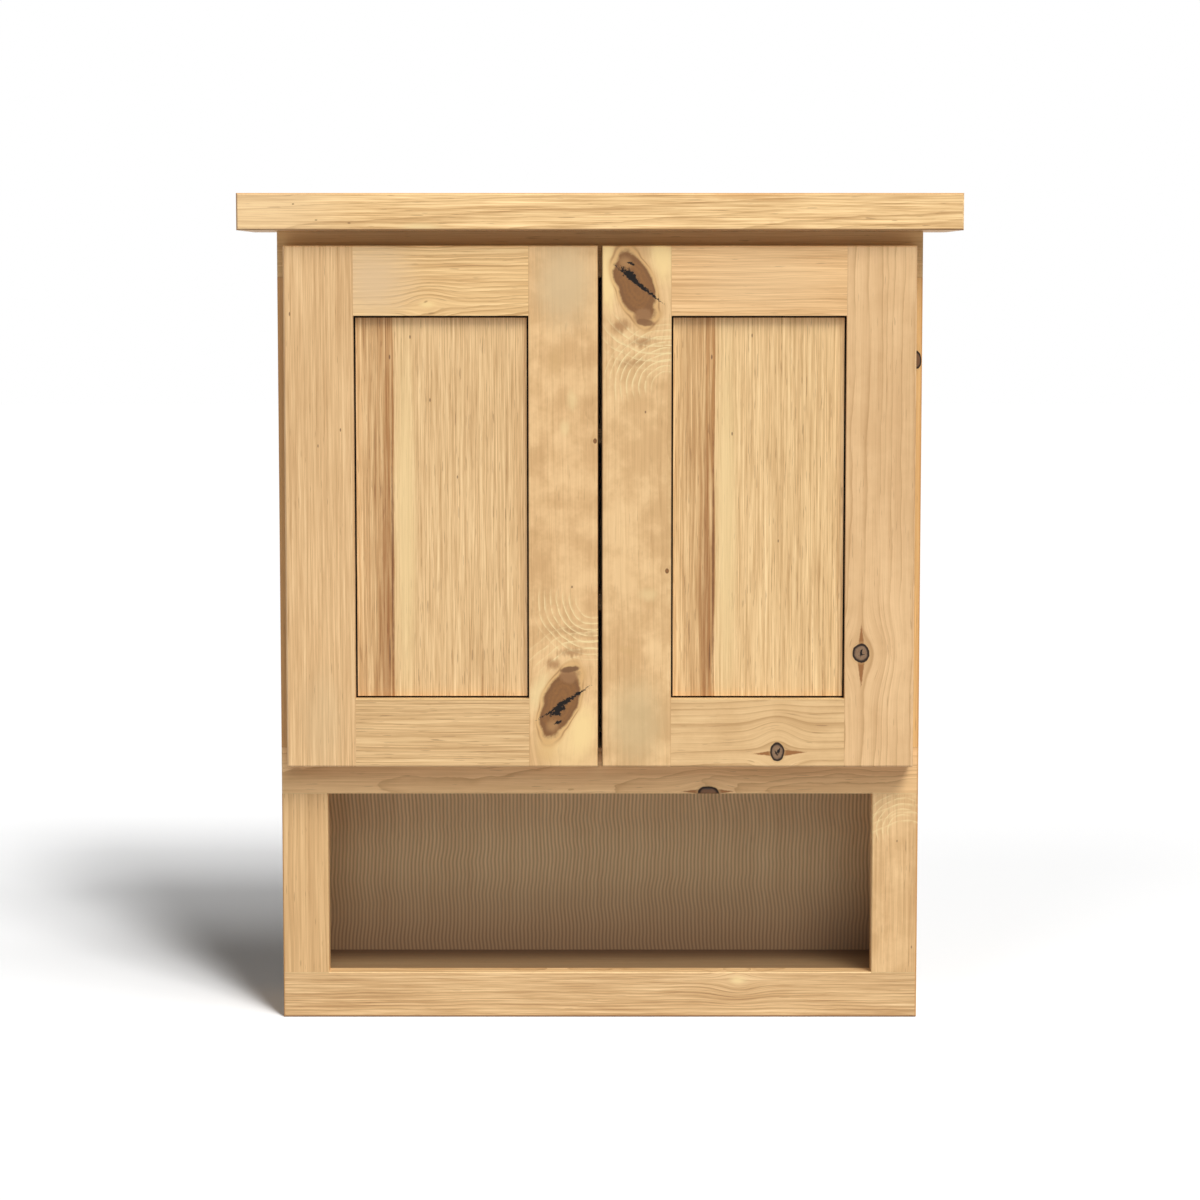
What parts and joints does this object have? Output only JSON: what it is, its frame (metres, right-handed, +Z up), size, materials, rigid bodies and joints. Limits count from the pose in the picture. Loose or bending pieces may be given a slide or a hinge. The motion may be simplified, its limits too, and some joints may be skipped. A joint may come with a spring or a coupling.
{
  "type": "wall cabinet",
  "caption": "Oak wall cabinet with a thick overhanging top, a pair of framed doors on concealed hinges over adjustable shelves, and an open cubby below.",
  "frame": {"origin": "middle of the overall footprint, on the plane of the bottom edge", "axes": "+X to the right seen from the front, +Y to the wall, +Z up; the doors face -Y"},
  "size_m": [0.679, 0.169, 0.7885],
  "materials": {
    "oak_slab": "clear matt oil",
    "oak_frame": "clear matt oil",
    "oak_panel": "clear matt oil",
    "oak_case": "clear matt oil",
    "nickel_steel": "nickel plated",
    "zinc_steel": "zinc plated",
    "clear_rubber": "soft and translucent"
  },
  "bodies": {
    "cabinet": {"top_slab": "oak_slab", "left_side": "oak_case", "right_side": "oak_case", "case_top": "oak_case", "fixed_shelf": "oak_case", "case_bottom": "oak_case", "back_panel": "oak_case", "upper_hanging_rail": "oak_case", "lower_hanging_rail": "oak_case", "top_frame_rail": "oak_frame", "middle_frame_rail": "oak_frame", "bottom_frame_rail": "oak_frame", "left_upper_frame_stile": "oak_frame", "right_upper_frame_stile": "oak_frame", "left_lower_frame_stile": "oak_frame", "right_lower_frame_stile": "oak_frame", "upper_shelf": "oak_case", "lower_shelf": "oak_case", "upper_shelf_pins": "zinc_steel", "lower_shelf_pins": "zinc_steel", "slab_screws": "zinc_steel", "left_hinge_arms": "nickel_steel", "right_hinge_arms": "nickel_steel", "left_arm_screws": "zinc_steel", "right_arm_screws": "zinc_steel"},
    "left_door": {"left_door_hinge_stile": "oak_frame", "left_door_meeting_stile": "oak_frame", "left_door_top_rail": "oak_frame", "left_door_bottom_rail": "oak_frame", "left_door_panel": "oak_panel", "left_hinge_cups": "nickel_steel", "left_hinge_pins": "zinc_steel", "left_cup_screws": "zinc_steel", "left_door_bumpers": "clear_rubber"},
    "right_door": {"right_door_hinge_stile": "oak_frame", "right_door_meeting_stile": "oak_frame", "right_door_top_rail": "oak_frame", "right_door_bottom_rail": "oak_frame", "right_door_panel": "oak_panel", "right_hinge_cups": "nickel_steel", "right_hinge_pins": "zinc_steel", "right_cup_screws": "zinc_steel", "right_door_bumpers": "clear_rubber"}
  },
  "joints": [
    {"name": "left_door_hinge", "type": "hinge", "parent": "cabinet", "child": "left_door", "pos_m": [-0.2895, -0.062, 0.49315], "axis": [0, 0, -1], "range_deg": [0, 105]},
    {"name": "right_door_hinge", "type": "hinge", "parent": "cabinet", "child": "right_door", "pos_m": [0.2895, -0.062, 0.49315], "axis": [0, 0, 1], "range_deg": [0, 105]}
  ]
}
